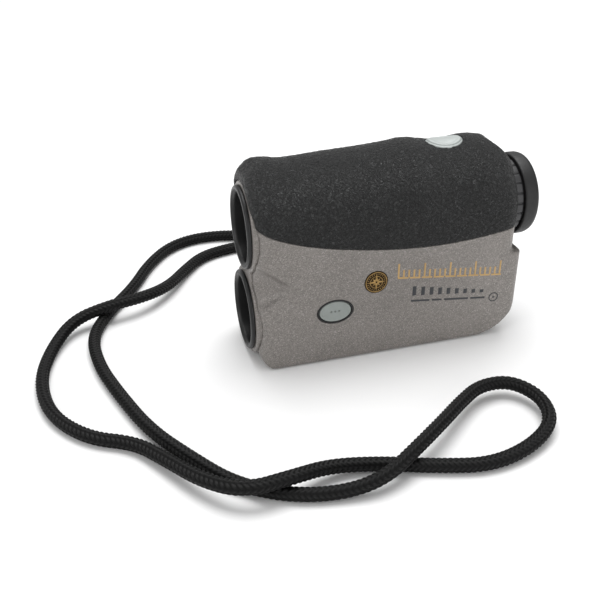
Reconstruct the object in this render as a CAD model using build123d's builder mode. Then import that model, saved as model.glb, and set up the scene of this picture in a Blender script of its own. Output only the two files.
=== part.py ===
from build123d import *
from math import atan2, cos, hypot, pi, radians, sin, sqrt, tan
import os

# A compact laser rangefinder on its wrist lanyard. Millimetres.
# +X points from the lenses to the eyepiece, +Z up, and the flat base rests on Z = 0.
# The origin is the middle of the base's footprint, without the lanyard.

os.makedirs("parts", exist_ok=True)

# ---- Overall sizes -------------------------------------------------------------------------
length = 96.5  # lens ring's front to the eyecup's rim
width = 34.0  # across the rubber armour
lower_z = 14.5  # axis of the lower lens, above the base
ring_radius = 13.15  # of both lens rings
ring_spacing = 3.2  # between the two rings' edges
upper_z = lower_z + 2 * ring_radius + ring_spacing
crown = 8.85  # upper ring's edge to the power button's face
height = upper_z + ring_radius + crown
button_proud = 0.6  # that button stands this far above the armour's crest
armor_thickness = 1.5
armor_proud = 0.2  # armour stands this far out of the painted shell
wall = 3.6  # painted shell, from its outside to its cavity
play = 0.05  # gap between pieces that seat in each other
move_gap = 0.3  # gap beside a face that moves

front_x = -length / 2
rear_x = length / 2
half_width = width / 2 - armor_proud  # the painted sides
shell_top = height - button_proud - armor_proud
arch_z = shell_top - half_width  # above this the section is a half circle
cavity_half = half_width - wall
cavity_top = shell_top - wall

# ---- The shell's outline, seen from the side ------------------------------------------------
cap_front = front_x + 1.4  # the lens rings stand this far out of the front cap
shell_front = front_x + 2.2
shell_rear = rear_x - 8.6  # upper rear face, where the eyepiece comes out
door_rear = rear_x - 5.9  # lower rear bulge that holds the battery door
step_z = 30.4  # top of that bulge
bulge_start = rear_x - 30.0
heel_run = 9.6  # the slanted heel between the base and the bulge
heel_rise = 9.0
side_outline = [
    (shell_front, 0), (door_rear - heel_run, 0), (door_rear, heel_rise), (door_rear, step_z + 2),
    (shell_rear, step_z + 4), (shell_rear, shell_top), (shell_front, shell_top),
]
side_radii = [6.0, 19.5, 12.0, 1.0, 0.6, 9.0, 6.0]
front_round = 5.0  # rounding all along the front and rear edges
rear_round = 4.0
bulge_round = 3.0
base_round = 1.6

# ---- The armour's lower edge on each side, from front to rear ----------------------------------
armor_edge = [
    (shell_front - 1, 49.9), (front_x + 14.9, 43.6), (front_x + 27.5, 40.5),
    (rear_x - 42.7, 37.3), (rear_x - 29.2, 37.4), (shell_rear + 1, 40.2),
]

# ---- The two lenses ---------------------------------------------------------------------------
ring_bore = 11.0
lens_radius = 10.95
tube_outer = 12.2
boss_radius = 14.5
cap_thickness = 3.0
cap_web_half = 7.0
waist_radius = 8.5  # the hollow pinched into each side between the lenses
waist_length = 11.0
waist_z = (upper_z + lower_z) / 2
seat_x = front_x + 11.5  # the shoulder that each lens rests on
seat_radius = 10.0
cap_rear = cap_front + cap_thickness
cavity_front = cap_rear + 2.2
objective_tube_end = front_x + 28.0
receiver_tube_end = front_x + 19.0

# ---- The eyepiece -----------------------------------------------------------------------------
barrel_outer = 11.0
barrel_inner = 9.5
neck_outer = 9.9  # the barrel's thinner front half
neck_inner = 9.0
barrel_start = front_x + 62.0
barrel_end = rear_x - 2.6
flange_radius = 13.0
flange_thickness = 1.8
seal_thickness = 0.6
turn_clearance = 0.06
ring_start = shell_rear + 0.6
grip_radius = 12.9
grip_length = 2.2
grip_ribs = 30
sleeve_radius = 12.0
sleeve_end = rear_x - 1.0
eyecup_radius = 13.65
eyecup_start = rear_x - 5.2

# ---- Buttons ----------------------------------------------------------------------------------
power_x = rear_x - 29.35
power_half = (5.6, 4.0)
power_travel = 0.8
mode_x = front_x + 26.4
mode_z = 18.7
mode_half = (5.2, 3.55)
mode_gasket_half = (5.93, 4.09)
mode_travel = 0.7
mode_face = half_width + 0.15
slide_clearance = 0.15
flange_lip = 0.9  # each button's flange is this much wider than its hole
flange_depth = 0.9
stem_length = 1.5
switch_gap = 0.1  # a switch's plunger stands this far beyond its button's travel
plunger_height = 0.5
switch_height = 1.8
key_board_thickness = 1.0
post_half = 0.9

# ---- Battery, its tube and its door ------------------------------------------------------------
battery_z = 19.0
battery_radius = 7.75
battery_length = 27.0
battery_rear = rear_x - 12.5
battery_front = battery_rear - battery_length
tube_bore = battery_radius + 0.25
tube_wall = 1.2
tube_front = battery_front - 3.0
bulkhead_front = rear_x - 26.5
bulkhead_top = step_z - 0.9
pocket_x = rear_x - 10.1  # the door pocket's floor
door_half = 11.0
door_top = step_z - 1.5
door_gap = 0.25
hinge_x = rear_x - 9.6
hinge_radius = 1.5  # the door's barrel along its lower edge
hinge_gap = 0.85  # between that barrel and the battery's tube
hinge_z = battery_z - tube_bore - tube_wall - hinge_radius - hinge_gap
door_bottom = hinge_z + move_gap
pin_radius = 0.6
pin_hold = 3.6  # length of each pin inside the barrel
pin_reach = 2.0  # length of each pin inside the housing
tab_inner = 6.5  # each catch lies between these distances from the middle
tab_outer = 9.5
tab_height = 1.2

# ---- Boards and the optics bracket ---------------------------------------------------------------
board_thickness = 1.4
board_gap = 0.6  # above the battery's tube
board_z = battery_z + tube_bore + tube_wall + board_gap
board_front = front_x + 22.0
board_rear = bulkhead_front - 0.5
bracket_gap = 1.8  # above the main board
bracket_z = board_z + board_thickness + bracket_gap
bracket_thickness = 1.6
bracket_front = front_x + 31.0
bracket_rear = rear_x - 23.0
deck_z = bracket_z + bracket_thickness
screw_places = [
    (x, side * 9.0) for x in (bracket_front + 3.0, board_rear - 3.0) for side in (-1, 1)
]
prism_front = front_x + 34.0
prism_size = 21.0
prism_top = deck_z + prism_size
clip_thickness = 0.6
prism_clearance = 0.18  # between the clip's corners and the cavity's arch
prism_half = sqrt(
    (cavity_half - prism_clearance) ** 2 - (prism_top + clip_thickness - arch_z) ** 2
) - clip_thickness

# ---- The lanyard, its lug and its cord -------------------------------------------------------------
lug_x = rear_x - 20.5
lug_z = 12.0
lug_width = 7.0
lug_height = 9.0
lug_depth = 5.2
lug_backing = 1.8
bar_radius = 0.9
bar_y = half_width - 2.2
link_radius = 0.7
ferrule_size = (11.0, 14.0, 6.6)
ferrule_y = 39.0
ferrule_z = 3.5
link_entry = 0.41  # the link's straight part reaches this far into the ferrule
link_rise = 0.57  # and lies this far above the ferrule's middle there
link_reach = ferrule_y - ferrule_size[1] / 2 + link_entry - bar_y
link_drop = lug_z - ferrule_z - link_rise
link_slope = atan2(link_drop, link_reach)
link_length = hypot(link_reach, link_drop)
cord_diameter = 3.8
lying = 2.1  # height of the cord's middle where it lies
cord_route = [
    (30.2, 46.0, ferrule_z), (30.2, 56.0, ferrule_z), (27, 68.5, 2.4), (14, 78, lying),
    (-6, 80, lying), (-27, 78, lying), (-46, 83, lying), (-61, 78.5, lying),
    (-72, 64.5, lying), (-79.5, 48, lying), (-90, 32.5, lying), (-97, 17, lying),
    (-96, -1, lying), (-91, -19, lying), (-84.5, -38, lying), (-75, -53.5, lying),
    (-66, -66.5, lying), (-53, -75, lying), (-39, -78, lying), (-27.5, -78, 4.4),
    (-15.5, -71, 6.6), (-4, -62.5, 6.6), (4.5, -55, 5.4), (13.5, -48.6, 4.8),
    (24, -48.4, 4.4), (29.6, -57.6, 4.0), (27.2, -68.4, 3.4), (17, -75.6, 2.6),
    (3, -79, lying), (-11, -75.5, lying), (-26, -70, lying), (-40, -68.5, 3.4),
    (-51.5, -73, 6.4), (-64.5, -74.5, 6.4), (-74, -66, 4.8), (-82, -53, 3.2),
    (-89, -42.5, lying), (-102, -36.5, lying), (-112, -22.5, lying), (-114.5, -4, lying),
    (-110.5, 13, lying), (-102.5, 26, 4.4), (-90, 29, 6.4), (-77.5, 31.5, 6.4),
    (-67.5, 41, 4), (-59.5, 54.5, 2.4), (-51, 65, lying), (-39, 69, lying),
    (-22, 70.5, lying), (-2, 73.5, lying), (14, 69.5, lying), (23.2, 61.2, 2.6),
    (25.3, 53.5, ferrule_z), (25.3, 46.0, ferrule_z),
]


# ---- Helpers ----------------------------------------------------------------------------------
def shell_form(inset, front=shell_front):
    """The housing's rounded form, drawn in by inset on every side, and cut off before front."""
    reach = half_width - inset
    with BuildPart() as form:
        with BuildSketch(Plane.YZ.offset(shell_front + inset)):
            with Locations((0, arch_z)):
                Circle(reach)
            with Locations((0, arch_z / 2 - 5)):
                Rectangle(2 * reach, arch_z + 10)
        extrude(amount=shell_rear - shell_front - 2 * inset)
        ends = form.faces().sort_by(Axis.X)
        for face, rounding in ((ends[0], front_round), (ends[-1], rear_round)):
            edges = face.edges().sort_by(Axis.Z)[1:]
            fillet(edges, max(rounding - inset, 0.5))
    with BuildPart() as bulge:
        add(block((bulge_start, -reach, -10), (door_rear - inset, reach, step_z - inset)))
        corners = bulge.edges().filter_by(Axis.Z).sort_by(Axis.X)[-2:]
        fillet(corners, max(bulge_round - inset, 0.5))
        fillet(bulge.faces().sort_by(Axis.Z)[-1].edges().sort_by(Axis.X)[-3:], 0.4)
    with BuildPart() as whole:
        add(form.part)
        add(bulge.part)
        with BuildSketch(Plane.XZ):
            with BuildLine():
                FilletPolyline(*side_outline, radius=side_radii, close=True)
            make_face()
            if inset:
                offset(amount=-inset)
        extrude(amount=width, both=True, mode=Mode.INTERSECT)
        with BuildSketch(Plane.YZ):
            with Locations((0, height)):
                RectangleRounded(2 * reach, 2 * (height - inset), max(base_round - inset, 0.1))
        extrude(amount=length, both=True, mode=Mode.INTERSECT)
        for side in (-1, 1):
            with Locations(Location((shell_front, side * (half_width + 1), waist_z), (0, 90, 0))):
                Cone(
                    waist_radius + inset, 0.2, waist_length + inset,
                    align=(Align.CENTER, Align.CENTER, Align.MIN), mode=Mode.SUBTRACT,
                )
        if front > shell_front:
            add(block((front_x - 1, -width, -1), (front, width, height + 1)), mode=Mode.SUBTRACT)
    return whole.part


def armor_region():
    """All that lies above the armour's lower edge."""
    with BuildPart() as above:
        with BuildSketch(Plane.XZ):
            with BuildLine():
                edge = Spline(*armor_edge)
                Polyline(
                    edge @ 1, (rear_x, armor_edge[-1][1]), (rear_x, height * 2),
                    (front_x, height * 2), (front_x, armor_edge[0][1]), edge @ 0,
                )
            make_face()
        extrude(amount=width, both=True)
    return above.part


def axis_plane(axis_z):
    """The upright plane along X, with its origin at height axis_z."""
    return Plane(origin=(0, 0, axis_z), x_dir=(1, 0, 0), z_dir=(0, -1, 0))


def turned(axis_z, profile):
    """A solid turned about a line along X at height axis_z, from (x, radius) points."""
    with BuildPart() as piece:
        with BuildSketch(axis_plane(axis_z)):
            with BuildLine():
                Polyline(*profile, close=True)
            make_face()
        revolve(axis=Axis((0, 0, axis_z), (1, 0, 0)))
    return piece.part


def sleeve(axis_z, x_from, x_to, inner, outer):
    """A plain tube about a line along X."""
    return turned(axis_z, [(x_from, inner), (x_to, inner), (x_to, outer), (x_from, outer)])


def rod(axis_z, x_from, x_to, radius):
    """A plain cylinder about a line along X."""
    return turned(axis_z, [(x_from, 0), (x_to, 0), (x_to, radius), (x_from, radius)])


def lens(axis_z, x_from, x_to, radius, bulge):
    """A lens whose two faces stand out by bulge at their middle."""
    curve = (radius**2 + bulge**2) / (2 * bulge)
    swell = sqrt(curve**2 - radius**2 / 4) - curve + bulge
    with BuildPart() as piece:
        with BuildSketch(axis_plane(axis_z)):
            with BuildLine():
                near = ThreePointArc(
                    (x_from, radius), (x_from - swell, radius / 2), (x_from - bulge, 0)
                )
                far = ThreePointArc((x_to + bulge, 0), (x_to + swell, radius / 2), (x_to, radius))
                Line(near @ 1, far @ 0)
                Line(far @ 1, near @ 0)
            make_face()
        revolve(axis=Axis((0, 0, axis_z), (1, 0, 0)))
    return piece.part


def oval(plane, start, end, half, inner=None):
    """An oval plug, or a ring where inner is given, from start to end along the plane's normal."""
    with BuildPart() as piece:
        with BuildSketch(plane.offset(start)):
            Ellipse(*half)
            if inner:
                Ellipse(*inner, mode=Mode.SUBTRACT)
        extrude(amount=end - start)
    return piece.part


def block(low, high):
    """A box between two opposite corners."""
    middle = tuple((a + b) / 2 for a, b in zip(low, high))
    with BuildPart() as piece:
        with Locations(middle):
            Box(*(b - a for a, b in zip(low, high)))
    return piece.part


def cross_rod(x, z, y_from, y_to, radius):
    """A cylinder along Y."""
    with BuildPart() as piece:
        with BuildSketch(Plane(origin=(x, y_from, z), x_dir=(1, 0, 0), z_dir=(0, 1, 0))):
            Circle(radius)
        extrude(amount=y_to - y_from)
    return piece.part


def upright(x, y, z_from, z_to, radius):
    """A cylinder along Z."""
    with BuildPart() as piece:
        with BuildSketch(Plane.XY.offset(z_from)):
            with Locations((x, y)):
                Circle(radius)
        extrude(amount=z_to - z_from)
    return piece.part


def cap_form(x_from, x_to, grow):
    """The front cap's figure-eight plate, without its bores."""
    with BuildPart() as plate:
        with BuildSketch(Plane.YZ.offset(x_from)):
            for axis_z in (upper_z, lower_z):
                with Locations((0, axis_z)):
                    Circle(boss_radius + grow)
            with Locations((0, waist_z)):
                Rectangle(2 * (cap_web_half + grow), upper_z - lower_z)
        extrude(amount=x_to - x_from)
    return plate.part


def grown(half, by):
    """An oval's two half sizes, each larger by by."""
    return (half[0] + by, half[1] + by)


side_plane = Plane(origin=(mode_x, 0, mode_z), x_dir=(1, 0, 0), z_dir=(0, -1, 0))
top_plane = Plane(origin=(power_x, 0, 0), x_dir=(1, 0, 0), z_dir=(0, 0, 1))
badge_plane = Plane(origin=(front_x + 39.8, 0, 27.2), x_dir=(1, 0, 0), z_dir=(0, -1, 0))
badge_radius = 3.9
badge_depth = 0.5
armor_inner = shell_form(armor_thickness)
above_edge = armor_region()

# Heights and depths of the stack under each button, from its flange down to its board
power_flange_top = cavity_top - move_gap
power_stem_foot = power_flange_top - flange_depth - stem_length
power_plunger_top = power_stem_foot - power_travel - switch_gap
power_board_top = power_plunger_top - plunger_height - switch_height
mode_flange_top = cavity_half - move_gap
mode_stem_foot = mode_flange_top - flange_depth - 1.0
mode_plunger_top = mode_stem_foot - mode_travel - switch_gap
mode_board_top = mode_plunger_top - plunger_height - switch_height
flange_front = shell_rear - wall - seal_thickness - flange_thickness

# ---- Housing: one painted shell with its openings, bosses, posts and lug -------------------------
with BuildPart() as foot:
    add(shell_form(play))
    low_corner = (bulkhead_front, -width, -1)
    add(block(low_corner, (rear_x, width, bulkhead_top)), mode=Mode.INTERSECT)

with BuildPart() as lug_backing_block:
    add(shell_form(play))
    add(
        block(
            (lug_x - lug_width, half_width - lug_depth - lug_backing, lug_z - lug_height),
            (lug_x + lug_width, width, lug_z + lug_height),
        ),
        mode=Mode.INTERSECT,
    )

with BuildPart() as main_housing:
    add(shell_form(0))
    add(above_edge, mode=Mode.SUBTRACT)
    add(armor_inner)
    add(shell_form(wall, cavity_front), mode=Mode.SUBTRACT)
    add(foot.part)
    add(lug_backing_block.part)
    for dx in (-9.0, 9.0):
        for dy in (-5.0, 5.0):
            add(
                block(
                    (power_x + dx - post_half, dy - post_half, power_board_top),
                    (power_x + dx + post_half, dy + post_half, cavity_top),
                )
            )
    for dx in (-3.0, 3.0):
        for dz in (-6.2, 6.2):
            add(
                block(
                    (mode_x + dx - post_half, -cavity_half - 1, mode_z + dz - post_half),
                    (mode_x + dx + post_half, -mode_board_top, mode_z + dz + post_half),
                )
            )
    # Front: the cap's seat and the two tubes' bores
    add(cap_form(front_x, cap_rear, play), mode=Mode.SUBTRACT)
    add(rod(upper_z, cap_front, objective_tube_end, tube_outer + play), mode=Mode.SUBTRACT)
    add(rod(lower_z, cap_front, receiver_tube_end, tube_outer + play), mode=Mode.SUBTRACT)
    # Rear: the eyepiece barrel's bore and the space for its flange
    add(rod(upper_z, shell_rear - wall - 1, rear_x, barrel_outer + play), mode=Mode.SUBTRACT)
    add(
        rod(upper_z, flange_front - play, shell_rear - wall, flange_radius + play),
        mode=Mode.SUBTRACT,
    )
    # Battery: the tube's bore, the door's pocket, its hinge and its catch
    add(rod(battery_z, tube_front, pocket_x, tube_bore + tube_wall + play), mode=Mode.SUBTRACT)
    pocket_half = door_half + door_gap
    add(
        block((pocket_x, -pocket_half, hinge_z - move_gap), (rear_x, pocket_half, door_top + door_gap)),
        mode=Mode.SUBTRACT,
    )
    add(
        cross_rod(hinge_x, hinge_z, -pocket_half, pocket_half, hinge_radius + door_gap),
        mode=Mode.SUBTRACT,
    )
    pin_end = pocket_half + pin_reach
    add(cross_rod(hinge_x, hinge_z, -pin_end, pin_end, pin_radius + 0.02), mode=Mode.SUBTRACT)
    for side in (-1, 1):
        near, far = sorted((side * tab_inner, side * tab_outer))
        add(
            block(
                (pocket_x - 1.6, near - move_gap, door_top - tab_height - 0.4),
                (pocket_x, far + move_gap, door_top + door_gap),
            ),
            mode=Mode.SUBTRACT,
        )
    # Buttons and badge
    hole_top = height + 1
    flange_room = grown(power_half, flange_lip + move_gap)
    add(oval(top_plane, cavity_top - 4, cavity_top, flange_room), mode=Mode.SUBTRACT)
    add(oval(top_plane, cavity_top - 2, hole_top, grown(power_half, slide_clearance)), mode=Mode.SUBTRACT)
    hole_out = half_width + 1
    add(
        oval(side_plane, cavity_half - 1, hole_out, grown(mode_half, slide_clearance)),
        mode=Mode.SUBTRACT,
    )
    add(oval(side_plane, half_width - 1.2, hole_out, grown(mode_gasket_half, 0.02)), mode=Mode.SUBTRACT)
    with BuildSketch(badge_plane.offset(half_width - badge_depth)):
        Circle(badge_radius + play)
    extrude(amount=2, mode=Mode.SUBTRACT)
    # Lug: an open pocket on the far side with a bar across it
    add(
        block(
            (lug_x - lug_width / 2, half_width - lug_depth, lug_z - lug_height / 2),
            (lug_x + lug_width / 2, width, lug_z + lug_height / 2),
        ),
        mode=Mode.SUBTRACT,
    )
    with Locations(Location((lug_x, bar_y, lug_z), (0, 90, 0))):
        Cylinder(bar_radius + 0.02, lug_width + 2.4, mode=Mode.SUBTRACT)

main_housing.part.label = "main_housing"
export_step(main_housing.part, "parts/main_housing.step")

# ---- Front cap: the painted bezel that carries both lens rings ------------------------------------
with BuildPart() as front_cap:
    add(cap_form(cap_front, cap_rear, 0))
    fillet(front_cap.faces().sort_by(Axis.X)[0].outer_wire().edges(), 0.7)
    for axis_z in (upper_z, lower_z):
        add(rod(axis_z, front_x, cap_rear + 1, tube_outer + play), mode=Mode.SUBTRACT)

front_cap.part.label = "front_cap"
export_step(front_cap.part, "parts/front_cap.step")

# ---- Rubber armour over the top half ----------------------------------------------------------------
with BuildPart() as rubber_armor:
    add(shell_form(-armor_proud))
    add(above_edge, mode=Mode.INTERSECT)
    add(armor_inner, mode=Mode.SUBTRACT)
    add(cap_form(front_x, cap_rear, play), mode=Mode.SUBTRACT)
    add(rod(upper_z, shell_rear - 3, rear_x, barrel_outer + move_gap), mode=Mode.SUBTRACT)
    add(oval(top_plane, shell_top - 3, height + 1, grown(power_half, 0.65)), mode=Mode.SUBTRACT)

rubber_armor.part.label = "rubber_armor"
export_step(rubber_armor.part, "parts/rubber_armor.step")


# ---- Lenses, their rings, tubes and retainers --------------------------------------------------------
def lens_ring(axis_z):
    return turned(
        axis_z,
        [
            (front_x, ring_bore), (cap_rear, ring_bore), (cap_rear, tube_outer),
            (cap_front, tube_outer), (cap_front, ring_radius), (front_x + 0.5, ring_radius),
            (front_x, ring_radius - 0.5),
        ],
    )


def lens_tube(axis_z, end):
    return turned(
        axis_z,
        [
            (cap_rear, ring_bore), (seat_x, ring_bore), (seat_x, seat_radius),
            (end, seat_radius), (end, tube_outer), (cap_rear, tube_outer),
        ],
    )


with BuildPart() as upper_lens_ring:
    add(lens_ring(upper_z))
upper_lens_ring.part.label = "upper_lens_ring"
export_step(upper_lens_ring.part, "parts/upper_lens_ring.step")

with BuildPart() as lower_lens_ring:
    add(lens_ring(lower_z))
lower_lens_ring.part.label = "lower_lens_ring"
export_step(lower_lens_ring.part, "parts/lower_lens_ring.step")

with BuildPart() as objective_tube:
    add(lens_tube(upper_z, objective_tube_end))
objective_tube.part.label = "objective_tube"
export_step(objective_tube.part, "parts/objective_tube.step")

with BuildPart() as receiver_tube:
    add(lens_tube(lower_z, receiver_tube_end))
receiver_tube.part.label = "receiver_tube"
export_step(receiver_tube.part, "parts/receiver_tube.step")

with BuildPart() as objective_lens:
    add(lens(upper_z, seat_x - 3.0, seat_x - 0.2, lens_radius, 0.9))
objective_lens.part.label = "objective_lens"
export_step(objective_lens.part, "parts/objective_lens.step")

with BuildPart() as receiver_lens:
    add(lens(lower_z, seat_x - 3.0, seat_x - 0.2, lens_radius, 0.9))
receiver_lens.part.label = "receiver_lens"
export_step(receiver_lens.part, "parts/receiver_lens.step")

with BuildPart() as objective_retainer:
    add(sleeve(upper_z, seat_x - 4.6, seat_x - 3.2, 9.9, lens_radius))
objective_retainer.part.label = "objective_retainer"
export_step(objective_retainer.part, "parts/objective_retainer.step")

with BuildPart() as receiver_retainer:
    add(sleeve(lower_z, seat_x - 4.6, seat_x - 3.2, 9.9, lens_radius))
receiver_retainer.part.label = "receiver_retainer"
export_step(receiver_retainer.part, "parts/receiver_retainer.step")

# ---- Bracket, prism, display and laser ----------------------------------------------------------------
with BuildPart() as optics_bracket:
    add(
        block(
            (bracket_front, -cavity_half + play, bracket_z),
            (bracket_rear, cavity_half - play, deck_z),
        )
    )
    for x, y in screw_places:
        add(upright(x, y, board_z + board_thickness, bracket_z, 1.6))
        add(upright(x, y, board_z, deck_z - 0.4, 0.57), mode=Mode.SUBTRACT)
optics_bracket.part.label = "optics_bracket"
export_step(optics_bracket.part, "parts/optics_bracket.step")

with BuildPart() as prism:
    with BuildSketch(Plane.XZ):
        with BuildLine():
            Polyline(
                (prism_front, deck_z), (prism_front + prism_size, deck_z),
                (prism_front + prism_size, prism_top - 6), (prism_front + prism_size - 6, prism_top),
                (prism_front + 6, prism_top), (prism_front, prism_top - 6), close=True,
            )
        make_face()
    extrude(amount=prism_half, both=True)
prism.part.label = "prism"
export_step(prism.part, "parts/prism.step")

clip_x = prism_front + prism_size - 8.0
with BuildPart() as prism_clip:
    add(
        block(
            (clip_x, -prism_half - clip_thickness, deck_z),
            (clip_x + 1.9, prism_half + clip_thickness, prism_top + clip_thickness),
        )
    )
    add(
        block((clip_x - 1, -prism_half, deck_z - 1), (clip_x + 3, prism_half, prism_top)),
        mode=Mode.SUBTRACT,
    )
prism_clip.part.label = "prism_clip"
export_step(prism_clip.part, "parts/prism_clip.step")

display_x = prism_front + prism_size + 1.5
with BuildPart() as display_module:
    add(block((display_x, -8.5, deck_z), (display_x + 2.8, 8.5, deck_z + 19)))
    add(block((display_x - 1, -5, upper_z - 5), (display_x + 4, 5, upper_z + 5)), mode=Mode.SUBTRACT)
display_module.part.label = "display_module"
export_step(display_module.part, "parts/display_module.step")

with BuildPart() as display_glass:
    add(
        block(
            (display_x + 0.9, -5 + play, upper_z - 5 + play),
            (display_x + 1.9, 5 - play, upper_z + 5 - play),
        )
    )
display_glass.part.label = "display_glass"
export_step(display_glass.part, "parts/display_glass.step")

with BuildPart() as laser_module:
    add(upright(prism_front + 9.5, 0, prism_top, prism_top + 5.5, 3.0))
    add(upright(prism_front + 9.5, 0, prism_top + 4.0, prism_top + 5.0, 4.2))
laser_module.part.label = "laser_module"
export_step(laser_module.part, "parts/laser_module.step")

# ---- Boards, chips and their screws ----------------------------------------------------------------------
with BuildPart() as main_board:
    add(
        block(
            (board_front, -cavity_half + move_gap, board_z),
            (board_rear, cavity_half - move_gap, board_z + board_thickness),
        )
    )
    for x, y in screw_places:
        add(upright(x, y, board_z - 1, board_z + 2, 0.7), mode=Mode.SUBTRACT)
main_board.part.label = "main_board"
export_step(main_board.part, "parts/main_board.step")

with BuildPart() as processor:
    low = board_z + board_thickness
    add(block((prism_front + 8, -5, low), (prism_front + 18, 5, low + 1.2)))
processor.part.label = "processor"
export_step(processor.part, "parts/processor.step")

with BuildPart() as board_screws:
    for x, y in screw_places:
        add(upright(x, y, board_z - 0.9, board_z, 1.3))
        add(upright(x, y, board_z, deck_z - 0.6, 0.55))
board_screws.part.label = "board_screws"
export_step(board_screws.part, "parts/board_screws.step")

detector_x = tube_front - 3.2
with BuildPart() as detector_board:
    add(block((detector_x, -6.5, wall), (detector_x + board_thickness, 6.5, board_z)))
detector_board.part.label = "detector_board"
export_step(detector_board.part, "parts/detector_board.step")

with BuildPart() as detector:
    add(rod(lower_z, detector_x - 2.6, detector_x, 2.5))
detector.part.label = "detector"
export_step(detector.part, "parts/detector.step")

# ---- Eyepiece: fixed barrel, turning diopter ring, and the cell that it drives in and out ----------------
with BuildPart() as eyepiece_barrel:
    add(
        turned(
            upper_z,
            [
                (barrel_start, neck_inner), (rear_x - 22, neck_inner), (rear_x - 22, barrel_inner),
                (barrel_end, barrel_inner), (barrel_end, barrel_outer),
                (flange_front + flange_thickness, barrel_outer),
                (flange_front + flange_thickness, flange_radius), (flange_front, flange_radius),
                (flange_front, barrel_outer), (flange_front - 3, barrel_outer),
                (flange_front - 3, neck_outer), (barrel_start, neck_outer),
            ],
        )
    )
eyepiece_barrel.part.label = "eyepiece_barrel"
export_step(eyepiece_barrel.part, "parts/eyepiece_barrel.step")

with BuildPart() as eyepiece_seal:
    start = flange_front + flange_thickness
    add(sleeve(upper_z, start, start + seal_thickness, barrel_outer + play, flange_radius - 0.4))
eyepiece_seal.part.label = "eyepiece_seal"
export_step(eyepiece_seal.part, "parts/eyepiece_seal.step")

with BuildPart() as field_lens:
    add(lens(upper_z, barrel_start + 3.0, barrel_start + 6.0, neck_inner - play, 0.8))
field_lens.part.label = "field_lens"
export_step(field_lens.part, "parts/field_lens.step")

cell_bore = 8.3
with BuildPart() as eye_lens_cell:
    add(sleeve(upper_z, rear_x - 13.0, rear_x - 5.6, cell_bore, barrel_inner - turn_clearance))
eye_lens_cell.part.label = "eye_lens_cell"
export_step(eye_lens_cell.part, "parts/eye_lens_cell.step")

with BuildPart() as eye_lens:
    add(lens(upper_z, rear_x - 10.5, rear_x - 7.0, cell_bore - 0.02, 1.1))
eye_lens.part.label = "eye_lens"
export_step(eye_lens.part, "parts/eye_lens.step")

with BuildPart() as diopter_ring:
    add(
        turned(
            upper_z,
            [
                (ring_start, barrel_outer + turn_clearance),
                (barrel_end + move_gap, barrel_outer + turn_clearance),
                (barrel_end + move_gap, 8.8), (sleeve_end, 8.8), (sleeve_end, sleeve_radius),
                (ring_start + grip_length, sleeve_radius), (ring_start + grip_length, grip_radius),
                (ring_start, grip_radius),
            ],
        )
    )
    with BuildSketch(Plane.YZ.offset(ring_start)):
        with Locations((0, upper_z)):
            with PolarLocations(grip_radius, grip_ribs):
                Rectangle(0.7, 0.8)
    extrude(amount=grip_length, mode=Mode.SUBTRACT)
diopter_ring.part.label = "diopter_ring"
export_step(diopter_ring.part, "parts/diopter_ring.step")

with BuildPart() as eyecup:
    add(
        turned(
            upper_z,
            [
                (eyecup_start, sleeve_radius), (sleeve_end, sleeve_radius), (sleeve_end, 9.2),
                (rear_x, 9.2), (rear_x, eyecup_radius - 1.3), (rear_x - 0.7, eyecup_radius - 0.4),
                (rear_x - 1.8, eyecup_radius), (eyecup_start, eyecup_radius),
            ],
        )
    )
eyecup.part.label = "eyecup"
export_step(eyecup.part, "parts/eyecup.step")

# ---- Power button on the crest ---------------------------------------------------------------------------
with BuildPart() as power_button:
    add(oval(top_plane, power_flange_top, height, power_half))
    add(oval(top_plane, power_flange_top - flange_depth, power_flange_top, grown(power_half, flange_lip)))
    add(upright(power_x, 0, power_stem_foot, power_flange_top - flange_depth, 1.6))
power_button.part.label = "power_button"
export_step(power_button.part, "parts/power_button.step")

with BuildPart() as power_button_seal:
    seal_foot = shell_top - armor_thickness
    add(
        oval(
            top_plane, seal_foot, shell_top + armor_proud, grown(power_half, 0.6),
            grown(power_half, slide_clearance),
        )
    )
power_button_seal.part.label = "power_button_seal"
export_step(power_button_seal.part, "parts/power_button_seal.step")

with BuildPart() as power_switch:
    foot_z = power_board_top
    add(block((power_x - 3, -3, foot_z), (power_x + 3, 3, foot_z + switch_height)))
    add(upright(power_x, 0, foot_z + switch_height, power_plunger_top, 1.5))
power_switch.part.label = "power_switch"
export_step(power_switch.part, "parts/power_switch.step")

with BuildPart() as power_board:
    low_z = power_board_top - key_board_thickness
    add(block((power_x - 10.2, -6.2, low_z), (power_x + 10.2, 6.2, power_board_top)))
power_board.part.label = "power_board"
export_step(power_board.part, "parts/power_board.step")

# ---- Mode button on the near side -------------------------------------------------------------------------
with BuildPart() as mode_button:
    add(oval(side_plane, mode_flange_top, mode_face, mode_half))
    add(oval(side_plane, mode_flange_top - flange_depth, mode_flange_top, grown(mode_half, flange_lip)))
    add(oval(side_plane, mode_stem_foot, mode_flange_top - flange_depth, (1.5, 1.5)))
mode_button.part.label = "mode_button"
export_step(mode_button.part, "parts/mode_button.step")

with BuildPart() as mode_gasket:
    add(
        oval(
            side_plane, half_width - 1.2, half_width, mode_gasket_half,
            grown(mode_half, slide_clearance),
        )
    )
mode_gasket.part.label = "mode_gasket"
export_step(mode_gasket.part, "parts/mode_gasket.step")

with BuildPart() as mode_switch:
    add(
        block(
            (mode_x - 3, -mode_board_top - switch_height, mode_z - 2.5),
            (mode_x + 3, -mode_board_top, mode_z + 2.5),
        )
    )
    add(oval(side_plane, mode_board_top + switch_height, mode_plunger_top, (1.4, 1.4)))
mode_switch.part.label = "mode_switch"
export_step(mode_switch.part, "parts/mode_switch.step")

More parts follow.
